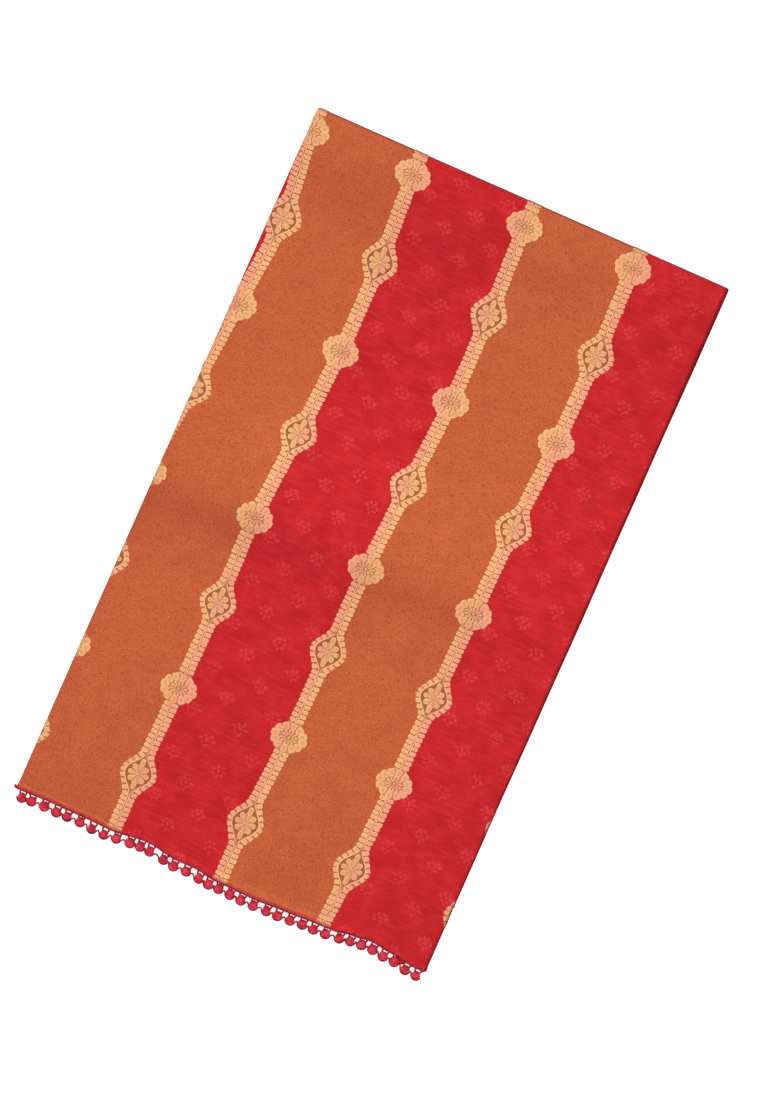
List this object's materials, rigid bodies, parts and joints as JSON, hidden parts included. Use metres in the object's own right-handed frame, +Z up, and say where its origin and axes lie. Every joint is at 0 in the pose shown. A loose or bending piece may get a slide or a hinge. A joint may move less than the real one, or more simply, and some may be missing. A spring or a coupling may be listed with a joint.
{
  "type": "folded art silk sari",
  "caption": "Art silk sari folded flat into a long packet, striped, with woven braid bands and a crochet ball edging along the pallu's end.",
  "frame": {"origin": "on the surface that the packet lies on, under the middle of its outline with the edging", "axes": "+Y up the packet's length from the crochet edging to the top fold, +X from the side with the free selvedges to the side where all four quarters turn over, +Z up, out of the pallu's face"},
  "size_m": [0.275, 0.469, 0.0164],
  "materials": {
    "pallu_silk": "woven art silk, rust stripes between red ones, matte with a soft sheen",
    "red_silk": "woven art silk, deep red, matte with a soft sheen",
    "crochet_thread": "crocheted thread balls, red with darker red threads"
  },
  "bodies": {
    "root": {"pallu_face": "pallu_silk", "pallu_under": "red_silk", "folded_layers": "red_silk", "base_stretch": "pallu_silk", "pallu_trim": "crochet_thread", "under_trim": "crochet_thread"}
  },
  "joints": []
}
